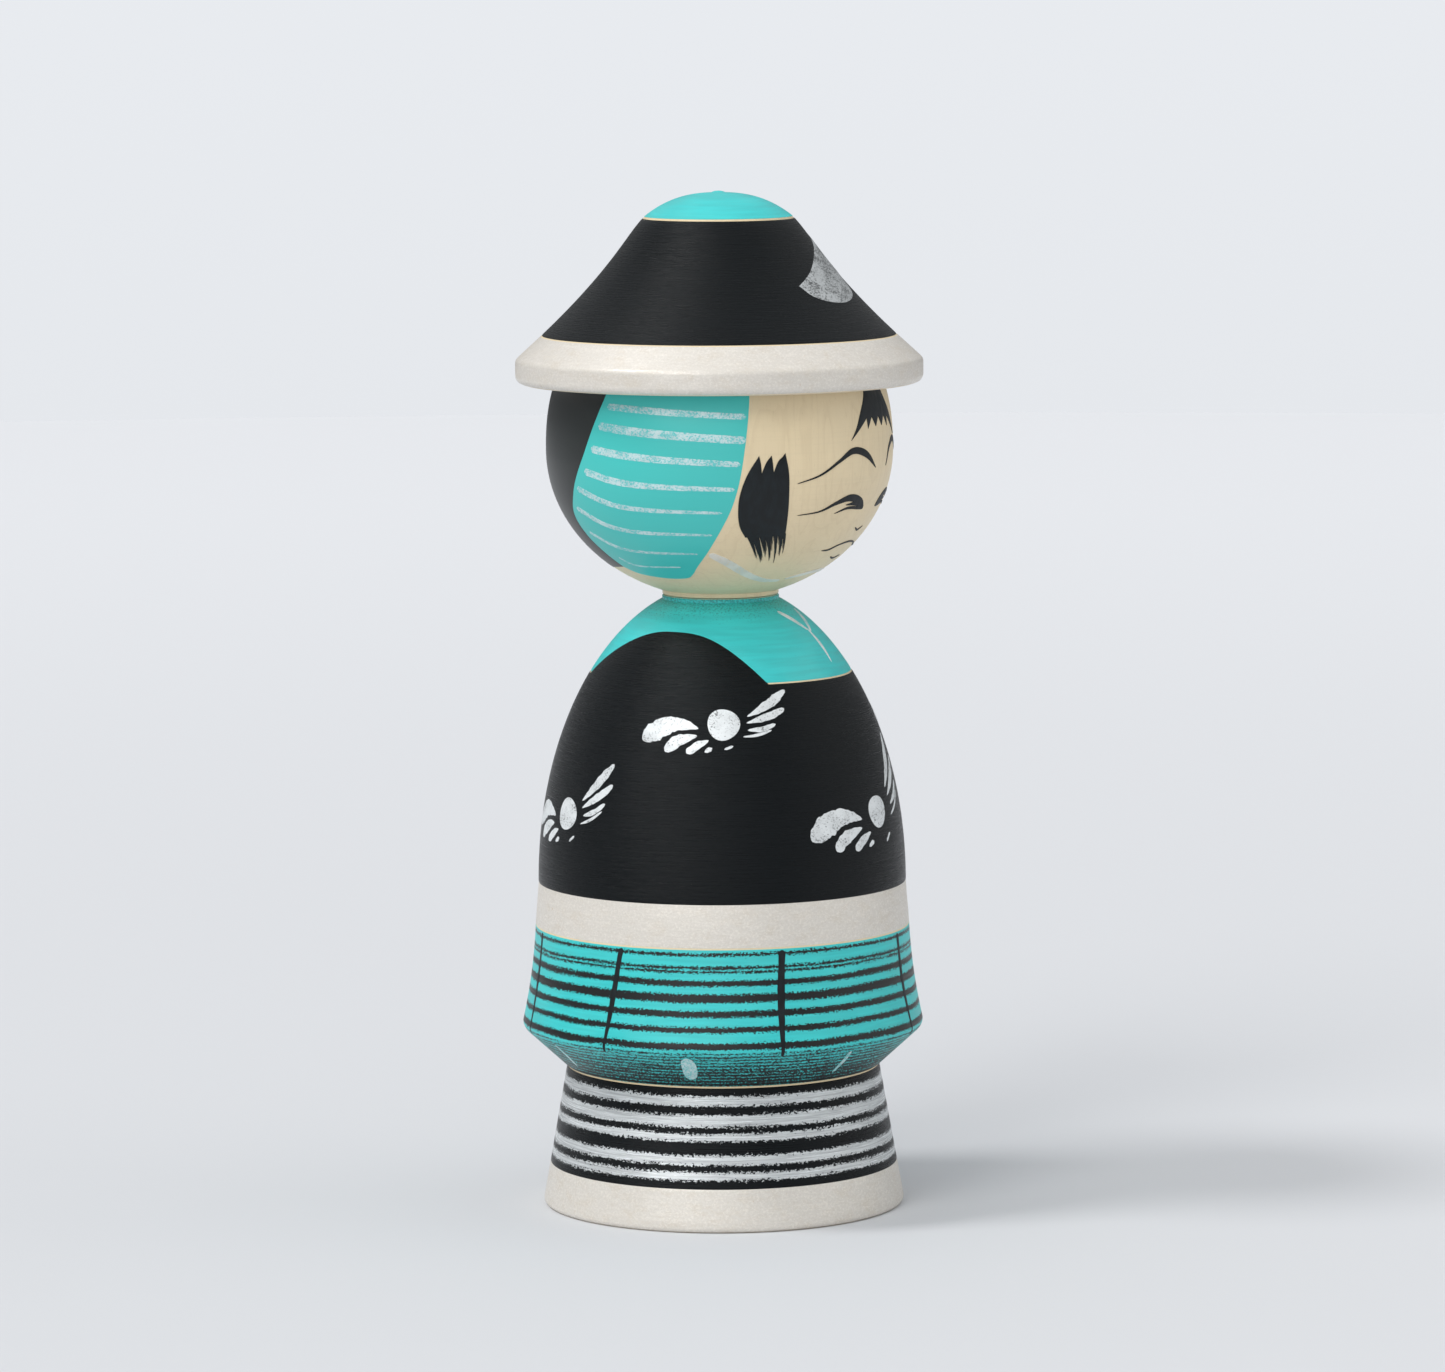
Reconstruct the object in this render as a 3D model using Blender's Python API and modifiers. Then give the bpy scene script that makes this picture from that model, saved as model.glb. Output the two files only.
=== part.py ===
"""Kokeshi doll with a lift-off hat: three pieces of turned wood, standing on z = 0 and facing -Y.

body   one turning: foot, leg, flared skirt, torso and neck, with a blind socket in the neck
head   turned globe on a tenon, whose bead snaps into a groove in the socket, so it turns but stays on
hat    turned cone with a brim, hollowed underneath to sit on the crown of the head

Each piece is a turned profile: a chain of (radius, height) points in millimetres that runs down the
outside from top to bottom. The axis of all three pieces, and of the head's turning, is Z.
"""

import math

import bpy

MM = 0.001  # the dimensions below are in millimetres, Blender's are in metres
SEGMENTS = 48  # facets around each turning
FIT_GAP = 0.35  # clearance between one turned piece and the next

# Body, from the floor up
FOOT_RADIUS = 27.1
FOOT_ROUNDING = 0.8
LEG_TOP_RADIUS = 23.45
LEG_TOP = 21.2
HEM_RADIUS = 30.05  # the skirt's widest point
HEM_HEIGHT = 27.9
HEM_ROUNDING = 1.5
SKIRT_TOP_RADIUS = 28.05
SKIRT_TOP = 42.5
SKIRT_FLARE = 0.05  # how fast the skirt widens at its top, in millimetres per millimetre
BAND_TOP_RADIUS = 27.55
BAND_TOP = 49.0
TORSO_HEIGHT = 44.8  # of the half ellipse that the torso follows, up to where it would close
NECK_RADIUS = 8.7
NECK_TOP = 92.2

# The socket in the neck, and the tenon that turns in it
TENON_RADIUS = 5.0
TENON_LENGTH = 15.0
BEAD_SWELL = 0.8  # how far the bead stands out from the tenon
BEAD_LENGTH = 3.0
BEAD_SLOPE = 0.8  # length of the slope at each end of the bead
BEAD_ABOVE_END = 3.0  # from the tenon's end up to the middle of the bead
SOCKET_DEPTH = 16.5

# Head
HEAD_RADIUS = 25.9
HEAD_MIDDLE = 114.0  # height of the head's widest point
HEAD_BELOW = 22.4  # half height of the ellipse below it
CROWN_ABOVE = 24.0  # from the widest point up to the top of the crown
CROWN_POWER = 2.4  # 2 would be an ellipse, and more is fuller
LIP_RADIUS = 8.7  # where the head meets the neck

# Hat
BRIM_RADIUS = 30.4
BRIM_BOTTOM = 123.9
BRIM_TOP = 127.9
BRIM_LOWER_ROUNDING = 1.2
BRIM_UPPER_ROUNDING = 0.6
SHOULDER_RADIUS = 26.4  # where the brim's slope meets the cone
SHOULDER = 131.0
DOME_RADIUS = 11.0  # where the cone rounds over into the top
DOME_DROP = 3.5
DOME_POWER = 2.5
CONE_STRAIGHT = 0.78  # share of the cone's widening that is straight, and the rest is curved
HAT_TOP = 152.1
TIP_RADIUS = 1.1
TIP_HEIGHT = 0.25

WOOD = (0.76, 0.64, 0.45)
BLACK_PAINT = (0.016, 0.017, 0.019)
TURQUOISE_PAINT = (0.06, 0.55, 0.52)


def shares(count):
    """Evenly spaced numbers from 0 to 1, count steps of them."""
    return [i / count for i in range(count + 1)]


def quarter_turn(corner_radius, corner_height, rounding, start_degrees, count=3):
    """Arc that rounds a profile's corner, running down the outside from start_degrees to 90 less."""
    side = 1 if start_degrees == 90 else -1
    centre_r = corner_radius - rounding
    centre_z = corner_height - side * rounding
    points = []
    for share in shares(count):
        angle = math.radians(start_degrees - 90 * share)
        points.append((centre_r + rounding * math.cos(angle), centre_z + rounding * math.sin(angle)))
    return points


def ellipse_run(radius, middle, half_height, from_degrees, to_degrees, count):
    """Points on an ellipse about the axis, by the angle above its widest point."""
    points = []
    for share in shares(count):
        angle = math.radians(from_degrees + (to_degrees - from_degrees) * share)
        points.append((radius * math.cos(angle), middle + half_height * math.sin(angle)))
    return points


def bead_run(base_radius, middle):
    """The bead on the tenon, or the groove round it, from its upper end to its lower end."""
    half = BEAD_LENGTH / 2
    return [
        (base_radius, middle + half),
        (base_radius + BEAD_SWELL, middle + half - BEAD_SLOPE),
        (base_radius + BEAD_SWELL, middle - half + BEAD_SLOPE),
        (base_radius, middle - half),
    ]


def crown_point(share, clearance):
    """Point on the crown of the head, from its top at share 0 to its widest at share 1."""
    angle = share * math.pi / 2
    radius = (HEAD_RADIUS + clearance) * math.sin(angle) ** (2 / CROWN_POWER)
    above = (CROWN_ABOVE + clearance) * math.cos(angle) ** (2 / CROWN_POWER)
    return radius, HEAD_MIDDLE + above


def crown_radius(height, clearance):
    """Radius of the crown at a height, the same curve as crown_point."""
    rise = (height - HEAD_MIDDLE) / (CROWN_ABOVE + clearance)
    return (HEAD_RADIUS + clearance) * (1 - rise**CROWN_POWER) ** (1 / CROWN_POWER)


def skirt_point(height):
    """The skirt flares gently at its top and faster towards the hem."""
    drop = SKIRT_TOP - height
    full_drop = SKIRT_TOP - HEM_HEIGHT
    bend = (HEM_RADIUS - SKIRT_TOP_RADIUS - SKIRT_FLARE * full_drop) / full_drop**2
    return SKIRT_TOP_RADIUS + SKIRT_FLARE * drop + bend * drop**2, height


def bead_middle():
    """Height of the middle of the bead, which hangs a little above the tenon's end."""
    return NECK_TOP + FIT_GAP - TENON_LENGTH + BEAD_ABOVE_END


def body_profile():
    socket_radius = TENON_RADIUS + FIT_GAP
    socket_floor = NECK_TOP - SOCKET_DEPTH
    points = [(0, socket_floor), (socket_radius, socket_floor)]
    points += reversed(bead_run(socket_radius, bead_middle()))
    points += [(socket_radius, NECK_TOP), (NECK_RADIUS, NECK_TOP)]
    neck_angle = math.degrees(math.acos(NECK_RADIUS / BAND_TOP_RADIUS))
    points += ellipse_run(BAND_TOP_RADIUS, BAND_TOP, TORSO_HEIGHT, neck_angle, 0, 13)
    skirt_height = SKIRT_TOP - HEM_HEIGHT - HEM_ROUNDING
    points += [skirt_point(SKIRT_TOP - skirt_height * share) for share in shares(3)]
    points += quarter_turn(HEM_RADIUS, HEM_HEIGHT - HEM_ROUNDING, HEM_ROUNDING, 0)[:3]
    points.append((LEG_TOP_RADIUS, LEG_TOP))
    points += quarter_turn(FOOT_RADIUS, 0, FOOT_ROUNDING, 0)
    points.append((0, 0))
    return points


def head_profile():
    points = [crown_point(share, 0) for share in shares(10)]
    lip_angle = -math.degrees(math.acos(LIP_RADIUS / HEAD_RADIUS))
    points += ellipse_run(HEAD_RADIUS, HEAD_MIDDLE, HEAD_BELOW, 0, lip_angle, 11)[1:]
    shoulder = NECK_TOP + FIT_GAP
    points += [(LIP_RADIUS, shoulder), (TENON_RADIUS, shoulder)]
    points += bead_run(TENON_RADIUS, bead_middle())
    tenon_end = shoulder - TENON_LENGTH
    points += [(TENON_RADIUS, tenon_end), (0, tenon_end)]
    return points


def hat_profile():
    points = [(0, HAT_TOP + TIP_HEIGHT)]
    for share in shares(6):
        radius = TIP_RADIUS + (DOME_RADIUS - TIP_RADIUS) * share
        points.append((radius, HAT_TOP - DOME_DROP * (radius / DOME_RADIUS) ** DOME_POWER))
    cone_top = HAT_TOP - DOME_DROP
    for share in shares(7)[1:]:
        widening = CONE_STRAIGHT * share + (1 - CONE_STRAIGHT) * share**2
        radius = DOME_RADIUS + (SHOULDER_RADIUS - DOME_RADIUS) * widening
        points.append((radius, cone_top + (SHOULDER - cone_top) * share))
    points += quarter_turn(BRIM_RADIUS, BRIM_TOP, BRIM_UPPER_ROUNDING, 90)[1:]
    points += quarter_turn(BRIM_RADIUS, BRIM_BOTTOM, BRIM_LOWER_ROUNDING, 0)
    # The hollow follows the crown from the brim's underside up to the axis.
    points.append((crown_radius(BRIM_BOTTOM, FIT_GAP), BRIM_BOTTOM))
    hollow = [crown_point(share, FIT_GAP) for share in shares(12)]
    points += [point for point in reversed(hollow) if point[1] > BRIM_BOTTOM + FIT_GAP]
    return points


def paint(name, colour, roughness):
    material = bpy.data.materials.new(name)
    material.use_nodes = True
    material.diffuse_color = (*colour, 1)
    shader = material.node_tree.nodes["Principled BSDF"]
    shader.inputs["Base Color"].default_value = (*colour, 1)
    shader.inputs["Roughness"].default_value = roughness
    shader.inputs["Metallic"].default_value = 0
    return material


def turned(name, profile, material, collection, parent):
    """A solid of revolution about Z."""
    mesh = bpy.data.meshes.new(name)
    corners = [(radius * MM, 0, height * MM) for radius, height in profile]
    mesh.from_pydata(corners, [(i, i + 1) for i in range(len(corners) - 1)], [])
    mesh.materials.append(material)
    piece = bpy.data.objects.new(name, mesh)
    collection.objects.link(piece)
    piece.parent = parent
    screw = piece.modifiers.new("turn", "SCREW")
    screw.steps = SEGMENTS
    screw.render_steps = SEGMENTS
    screw.use_merge_vertices = True
    screw.merge_threshold = 0.00001
    screw.use_smooth_shade = True
    return piece


def main():
    for old in list(bpy.data.objects):
        bpy.data.objects.remove(old)
    collection = bpy.data.collections.new("kokeshi_doll")
    bpy.context.scene.collection.children.link(collection)
    axis = bpy.data.objects.new("turning_axis", None)
    collection.objects.link(axis)
    turned("body", body_profile(), paint("turquoise_paint", TURQUOISE_PAINT, 0.45), collection, axis)
    turned("head", head_profile(), paint("bare_wood", WOOD, 0.5), collection, axis)
    turned("hat", hat_profile(), paint("black_paint", BLACK_PAINT, 0.4), collection, axis)


main()
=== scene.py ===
"""Looks of a hand-painted kokeshi doll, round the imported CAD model.

Lengths are in millimetres and angles in degrees until a point is placed. An azimuth is measured round the
doll from its front (-Y), and grows towards its left hand (+X). A height is measured from the floor.
Every coat of paint and every brush stroke is a thin closed film that lies on the turned wood under it.
The far side, the back and the underside are not in the photo, so what is painted there is a guess.
"""

import math

import bpy
import numpy as np
from mathutils import Matrix, Vector, geometry, noise


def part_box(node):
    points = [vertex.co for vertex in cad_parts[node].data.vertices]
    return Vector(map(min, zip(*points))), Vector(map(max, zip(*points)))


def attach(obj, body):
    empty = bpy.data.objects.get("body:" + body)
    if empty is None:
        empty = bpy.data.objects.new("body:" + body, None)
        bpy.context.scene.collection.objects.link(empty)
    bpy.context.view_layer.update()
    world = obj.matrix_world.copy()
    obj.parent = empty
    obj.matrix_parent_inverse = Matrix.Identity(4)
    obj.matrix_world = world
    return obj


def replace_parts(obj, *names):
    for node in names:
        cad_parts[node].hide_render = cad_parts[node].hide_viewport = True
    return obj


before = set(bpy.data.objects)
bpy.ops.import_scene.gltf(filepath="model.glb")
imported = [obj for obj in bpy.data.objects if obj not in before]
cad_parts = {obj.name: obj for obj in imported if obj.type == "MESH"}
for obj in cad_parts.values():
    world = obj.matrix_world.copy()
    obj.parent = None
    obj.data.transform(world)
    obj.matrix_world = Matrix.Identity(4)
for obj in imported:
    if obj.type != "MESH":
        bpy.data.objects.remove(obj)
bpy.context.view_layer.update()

MM = 0.001
PER_METRE = 1000

# ---------------------------------------------------------------- turned outlines, as in the CAD model

FIT_GAP = 0.35

FOOT_RADIUS = 27.1
FOOT_ROUNDING = 0.8
LEG_TOP_RADIUS = 23.45
LEG_TOP = 21.2
HEM_RADIUS = 30.05
HEM_HEIGHT = 27.9
HEM_ROUNDING = 1.5
HEM_SLOPE = 52  # how steeply the skirt turns in to the leg
SKIRT_TOP_RADIUS = 28.05
SKIRT_TOP = 42.5
SKIRT_FLARE = 0.05
BAND_TOP_RADIUS = 27.55
BAND_TOP = 49.0
TORSO_HEIGHT = 44.8
NECK_RADIUS = 8.7
NECK_TOP = PER_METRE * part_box("body")[1].z
NECK_EDGE = 0.3

TENON_RADIUS = 5.0
TENON_LENGTH = 15.0
TENON_CHAMFER = 0.4
BEAD_SWELL = 0.8  # the bead on the tenon, which holds the head on
BEAD_HALF = 1.5
BEAD_FLAT = 0.7  # half its flat top
BEAD_ABOVE_END = 3.0
SOCKET_DEPTH = 16.5

HEAD_RADIUS = 25.9
HEAD_MIDDLE = 114.0
HEAD_BELOW = 22.4
CROWN_ABOVE = 24.0
CROWN_POWER = 2.4
LIP_RADIUS = 8.7
LIP_GAP = 0.08
LIP_CHAMFER = 0.1

BRIM_RADIUS = 30.4
BRIM_BOTTOM = PER_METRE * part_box("hat")[0].z
BRIM_TOP = 127.9
BRIM_LOWER_ROUNDING = 1.2
BRIM_UPPER_ROUNDING = 1.0
BRIM_SLOPE = 52  # up to where its upper edge is rounded
SHOULDER_RADIUS = 26.4
SHOULDER = 131.0
DOME_RADIUS = 11.0
DOME_DROP = 3.5
DOME_POWER = 2.5
CONE_STRAIGHT = 0.78
CONE_SWELL = 0.3  # how steeply the cone swells below the dome
CONE_SWELL_DROP = 2.6
HAT_TOP = 152.1
TIP_RADIUS = 1.1
TIP_HEIGHT = 0.25
TIP_SUNK = 0.15  # how far the tip's ellipse reaches into the dome
TIP_SLOPE = 25  # where it meets the dome


def shares(count):
    return [i / count for i in range(count + 1)]


def arc(centre_r, centre_z, radius_r, radius_z, start, end, count):
    """Points on an ellipse in the (radius, height) plane, by the angle above the horizontal."""
    angles = [math.radians(start + (end - start) * share) for share in shares(count)]
    return [(centre_r + radius_r * math.cos(a), centre_z + radius_z * math.sin(a)) for a in angles]


def line(start, end, count):
    return [(start[0] + (end[0] - start[0]) * s, start[1] + (end[1] - start[1]) * s) for s in shares(count)]


def crown(clearance, count):
    """The crown of the head from its top down to its widest point, grown by a clearance."""
    points = []
    for share in shares(count):
        angle = share * math.pi / 2
        radius = (HEAD_RADIUS + clearance) * math.sin(angle) ** (2 / CROWN_POWER)
        above = (CROWN_ABOVE + clearance) * math.cos(angle) ** (2 / CROWN_POWER)
        points.append((radius, HEAD_MIDDLE + above))
    return points


def body_outline():
    points = arc(NECK_RADIUS - NECK_EDGE, NECK_TOP - NECK_EDGE, NECK_EDGE, NECK_EDGE, 90, 0, 4)
    neck_angle = math.degrees(math.acos(NECK_RADIUS / BAND_TOP_RADIUS))
    points += arc(0, BAND_TOP, BAND_TOP_RADIUS, TORSO_HEIGHT, neck_angle, 0, 90)
    full_drop = SKIRT_TOP - HEM_HEIGHT
    bend = (HEM_RADIUS - SKIRT_TOP_RADIUS - SKIRT_FLARE * full_drop) / full_drop**2
    for share in shares(24):
        drop = full_drop * share
        points.append((SKIRT_TOP_RADIUS + SKIRT_FLARE * drop + bend * drop**2, SKIRT_TOP - drop))
    points += arc(HEM_RADIUS - HEM_ROUNDING, HEM_HEIGHT, HEM_ROUNDING, HEM_ROUNDING, 0, -HEM_SLOPE, 8)[1:]
    points += line(points[-1], (LEG_TOP_RADIUS, LEG_TOP), 8)[1:]
    points += line(points[-1], (FOOT_RADIUS, FOOT_ROUNDING), 20)[1:]
    points += arc(FOOT_RADIUS - FOOT_ROUNDING, FOOT_ROUNDING, FOOT_ROUNDING, FOOT_ROUNDING, 0, -90, 6)[1:]
    return points


def head_outline():
    lip_angle = -math.degrees(math.acos(LIP_RADIUS / HEAD_RADIUS))
    points = crown(0, 50)[:-1] + arc(0, HEAD_MIDDLE, HEAD_RADIUS, HEAD_BELOW, 0, lip_angle, 60)
    lip = NECK_TOP + LIP_GAP
    return points + [(LIP_RADIUS, lip + LIP_CHAMFER), (LIP_RADIUS - LIP_CHAMFER, lip)]


def hat_outline():
    points = arc(0, HAT_TOP - TIP_SUNK, TIP_RADIUS, TIP_HEIGHT + TIP_SUNK, 90, TIP_SLOPE, 6)
    for share in shares(30)[1:]:
        radius = TIP_RADIUS + (DOME_RADIUS - TIP_RADIUS) * share
        points.append((radius, HAT_TOP - DOME_DROP * (radius / DOME_RADIUS) ** DOME_POWER))
    cone_top = HAT_TOP - DOME_DROP
    for share in shares(40)[1:]:
        widening = CONE_STRAIGHT * share + (1 - CONE_STRAIGHT) * share**2
        drop = (cone_top - SHOULDER) * share
        swell = CONE_SWELL * drop * math.exp(-drop / CONE_SWELL_DROP)
        points.append((DOME_RADIUS + (SHOULDER_RADIUS - DOME_RADIUS) * widening + swell, cone_top - drop))
    upper = arc(
        BRIM_RADIUS - BRIM_UPPER_ROUNDING, BRIM_TOP - BRIM_UPPER_ROUNDING,
        BRIM_UPPER_ROUNDING, BRIM_UPPER_ROUNDING, BRIM_SLOPE, 0, 6,
    )
    points += line(points[-1], upper[0], 8)[1:] + upper[1:]
    lower = arc(
        BRIM_RADIUS - BRIM_LOWER_ROUNDING, BRIM_BOTTOM + BRIM_LOWER_ROUNDING,
        BRIM_LOWER_ROUNDING, BRIM_LOWER_ROUNDING, 0, -90, 8,
    )
    return points + line(points[-1], lower[0], 4)[1:] + lower[1:]


class Turning:
    """The outside of a turned piece, on which paint is placed by azimuth and height."""

    PROBE = 0.2  # half the height over which a slope is measured

    def __init__(self, body, outline):
        self.body = body
        self.outline = outline
        self.heights = np.array([height for radius, height in reversed(outline)])
        self.radii = np.array([radius for radius, height in reversed(outline)])

    def radius(self, height):
        return float(np.interp(height, self.heights, self.radii))

    def normal(self, height):
        """The outward and the upward part of the surface's normal."""
        widening = self.radius(height - self.PROBE) - self.radius(height + self.PROBE)
        length = math.hypot(2 * self.PROBE, widening)
        return 2 * self.PROBE / length, widening / length

    def lifted(self, height, lift):
        """(radius, height) of a point that stands off the surface."""
        out, up = self.normal(height)
        return self.radius(height) + lift * out, height + lift * up

    def place(self, azimuth, height, lift):
        radius, height = self.lifted(height, lift)
        angle = math.radians(azimuth)
        return radius * MM * math.sin(angle), -radius * MM * math.cos(angle), height * MM


BODY = Turning("body", body_outline())
HEAD = Turning("head", head_outline())
HAT = Turning("hat", hat_outline())

# ---------------------------------------------------------------- meshes

COLUMNS = 240  # round each turning
SHARP = math.radians(38)
COAT = 0.05  # thickness of a coat of paint
STROKE = 0.12  # height of a brush stroke over the wood
SINK = 0.06  # how far a film reaches into the wood
EDGE = 0.2  # width over which a coat rounds down to its edge
EDGE_SHARE = 0.3  # the most of a coat's height that may take
GRID = 0.8  # spacing of the points inside a film


def add_piece(name, points, faces, material, body, slot):
    mesh = bpy.data.meshes.new(name)
    mesh.from_pydata(points, [], faces)
    mesh.materials.append(material)
    mesh.shade_smooth()
    mesh.set_sharp_from_angle(angle=SHARP)
    mesh.validate()
    piece = bpy.data.objects.new(name, mesh)
    bpy.context.scene.collection.objects.link(piece)
    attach(piece, body)
    return piece


def around(section, columns):
    """The points of a section, all the way round the doll.

    A point of the section is (radius, height), or a function that gives it from the azimuth.
    """
    for point in section:
        for column in range(columns):
            azimuth = 360 * column / columns
            radius, height = point(azimuth) if callable(point) else point
            angle = math.radians(azimuth)
            yield radius * MM * math.sin(angle), -radius * MM * math.cos(angle), height * MM


def strips(rows, columns, first=0):
    """Faces between each of some rows of points and the next."""
    faces = []
    for upper, lower in rows:
        upper = first + upper * columns
        lower = first + lower * columns
        for column in range(columns):
            beside = (column + 1) % columns
            faces.append((lower + column, lower + beside, upper + beside, upper + column))
    return faces


def turned_solid(name, section, material, body, slot, columns=COLUMNS):
    """A solid of revolution. Its section is (radius, height) points that start and end on the axis."""
    middle = section[1:-1]
    points = [(0, 0, section[0][1] * MM), *around(middle, columns), (0, 0, section[-1][1] * MM)]
    faces = strips([(row, row + 1) for row in range(len(middle) - 1)], columns, 1)
    last = len(points) - 1
    for column in range(columns):
        beside = (column + 1) % columns
        faces.append((0, 1 + column, 1 + beside))
        faces.append((last, last - columns + beside, last - columns + column))
    return add_piece(name, points, faces, material, body, slot)


def turned_ring(name, section, material, body, slot, columns=COLUMNS):
    """A ring of revolution. Its section is a closed loop of points that goes down its outer side."""
    count = len(section)
    faces = strips([(row, (row + 1) % count) for row in range(count)], columns)
    return add_piece(name, list(around(section, columns)), faces, material, body, slot)


def coat(name, turning, top, bottom, material, slot, lift=COAT, columns=COLUMNS, underside=()):
    """A coat of paint round a turning. Its top is a height or a function of azimuth.

    The underside is a list of (radius, height) points that the paint goes on over, below the bottom height.
    """
    top_at = top if callable(top) else lambda azimuth: top
    highest = max(top_at(360 * column / columns) for column in range(columns))
    tall = highest - bottom
    edge = min(EDGE_SHARE, EDGE / tall)
    inner = [(height - bottom) / tall for height in turning.heights[::-1]]
    inner = [1 - edge] + [share for share in inner if edge < share < 1 - edge] + [edge]

    def row(share, rise):
        return lambda azimuth: turning.lifted(bottom + (top_at(azimuth) - bottom) * share, rise)

    outside = [row(1, lift / 3)] + [row(share, lift) for share in inner]
    inside = [row(share, -SINK) for share in [0, *reversed(inner), 1]]
    if underside:
        outside += [(radius, height - lift) for radius, height in underside]
        inside = [(radius, height + SINK) for radius, height in reversed(underside)] + inside[1:]
    else:
        outside += [row(0, lift / 3)]
    return turned_ring(name, outside + inside, material, turning.body, slot, columns)


def top_coat(name, turning, bottom, lift, material, slot):
    """A coat of paint over the top of a turning, right to its axis, and down to a bottom height."""
    top = turning.outline[0][1]
    heights = [height for radius, height in turning.outline[1:] if height > bottom]
    outside = [(0, top + lift)] + [turning.lifted(height, lift) for height in heights]
    inside = [(0, top - SINK)] + [turning.lifted(height, -SINK) for height in heights]
    turned_solid(name, outside + inside[::-1], material, turning.body, slot)


def smooth(points, step=0.3):
    """A Catmull-Rom curve through a list of points, sampled about every step millimetres."""
    points = [np.array(point, float) for point in points]
    ends = [2 * points[0] - points[1]] + points + [2 * points[-1] - points[-2]]
    curve = [points[0]]
    for before, start, end, after in zip(ends, ends[1:], ends[2:], ends[3:]):
        reach = math.hypot((end[0] - start[0]) * 0.4, end[1] - start[1])
        count = max(2, math.ceil(reach / step))
        for share in shares(count)[1:]:
            slope = (end - before) * share
            bow = (2 * before - 5 * start + 4 * end - after) * share**2
            twist = (3 * start - before - 3 * end + after) * share**3
            curve.append((2 * start + slope + bow + twist) / 2)
    return curve


def joined(*runs):
    """One closed outline from smooth runs that meet in corners."""
    outline = []
    for run in runs:
        outline += smooth(run)[:-1]
    return outline


class Film:
    """Closed patches of one paint on one turning, gathered into one piece."""

    def __init__(self, name, turning, material, slot, lift=STROKE, grid=GRID):
        self.name = name
        self.turning = turning
        self.material = material
        self.slot = slot
        self.lift = lift
        self.grid = grid
        self.points = []
        self.faces = []

    def fill(self, outline):
        """Adds the patch inside a closed outline of (azimuth, height) points."""
        outline = np.array([point[:2] for point in outline])
        middle = outline.mean(axis=0)
        scale = np.array([math.radians(self.turning.radius(middle[1])), 1])
        flat = (outline - middle) * scale
        inside = self.inner_points(flat)
        corners = [Vector(point) for point in np.vstack([flat, inside])]
        count = len(flat)
        rim = [(i, (i + 1) % count) for i in range(count)]
        found, _, triangles, *_ = geometry.delaunay_2d_cdt(corners, rim, [], 1, 1e-5)
        sides = {(a, b) for face in triangles for a, b in zip(face, face[1:] + face[:1])}
        border = [(a, b) for a, b in sides if (b, a) not in sides]
        on_border = {index for side in border for index in side}
        first = len(self.points)
        below = first + len(found)
        spots = [middle + np.array(point) / scale for point in found]
        for index, (azimuth, height) in enumerate(spots):
            rise = self.lift * 0.6 if index in on_border else self.lift
            self.points.append(self.turning.place(azimuth, height, rise))
        self.points += [self.turning.place(azimuth, height, -SINK) for azimuth, height in spots]
        self.faces += [tuple(first + i for i in face) for face in triangles]
        self.faces += [tuple(below + i for i in reversed(face)) for face in triangles]
        self.faces += [(first + b, first + a, below + a, below + b) for a, b in border]

    def inner_points(self, flat):
        """Points of a triangular grid that lie well inside the outline."""
        low, high = flat.min(axis=0), flat.max(axis=0)
        rows = np.arange(low[1], high[1], self.grid * 0.87)
        grid = [
            (x + (self.grid / 2 if row % 2 else 0), y)
            for row, y in enumerate(rows)
            for x in np.arange(low[0], high[0], self.grid)
        ]
        starts, ends = flat, np.roll(flat, -1, axis=0)
        along = ends - starts
        lengths = (along**2).sum(axis=1) + 1e-12
        kept = []
        for spot in grid:
            rises = (starts[:, 1] > spot[1]) != (ends[:, 1] > spot[1])
            with np.errstate(divide="ignore", invalid="ignore"):
                crossing = starts[:, 0] + (spot[1] - starts[:, 1]) / along[:, 1] * along[:, 0]
            if (rises & (crossing > spot[0])).sum() % 2 == 0:
                continue
            share = np.clip(((spot - starts) * along).sum(axis=1) / lengths, 0, 1)
            gap = np.linalg.norm(starts + along * share[:, None] - spot, axis=1).min()
            if gap > self.grid * 0.4:
                kept.append(spot)
        return np.array(kept).reshape(-1, 2)

    def stroke(self, points, waver=0.08):
        """Adds a brush stroke along (azimuth, height, width) points, with its ends rounded."""
        path = smooth(points)
        length = [0.0]
        ways = []
        for here, there in zip(path, path[1:]):
            out, _ = self.turning.normal(here[1])
            way = np.array([math.radians(there[0] - here[0]) * self.turning.radius(here[1]),
                            (there[1] - here[1]) / out])
            ways.append(way)
            length.append(length[-1] + float(np.hypot(*way)))
        ways.append(ways[-1])
        left, right = [], []
        for index, (azimuth, height, width) in enumerate(path):
            way = ways[index] + ways[max(0, index - 1)]
            across = np.array([-way[1], way[0]]) / np.hypot(*way)
            half = width / 2
            to_end = min(length[index], length[-1] - length[index])
            if to_end < half:
                half *= math.sqrt(max(0.04, 1 - (1 - to_end / half) ** 2))
            out, _ = self.turning.normal(height)
            for side, edge in ((1, left), (-1, right)):
                rough = 1 + waver * noise.noise(Vector((azimuth * 0.7, height * 1.3, side * 5 + width)))
                shift = across * half * side * rough
                radius = self.turning.radius(height)
                edge.append((azimuth + math.degrees(shift[0] / radius), height + shift[1] * out))
        self.fill(left + right[::-1])

    def finish(self):
        return add_piece(self.name, self.points, self.faces, self.material, self.turning.body, self.slot)


# ---------------------------------------------------------------- materials

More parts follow.
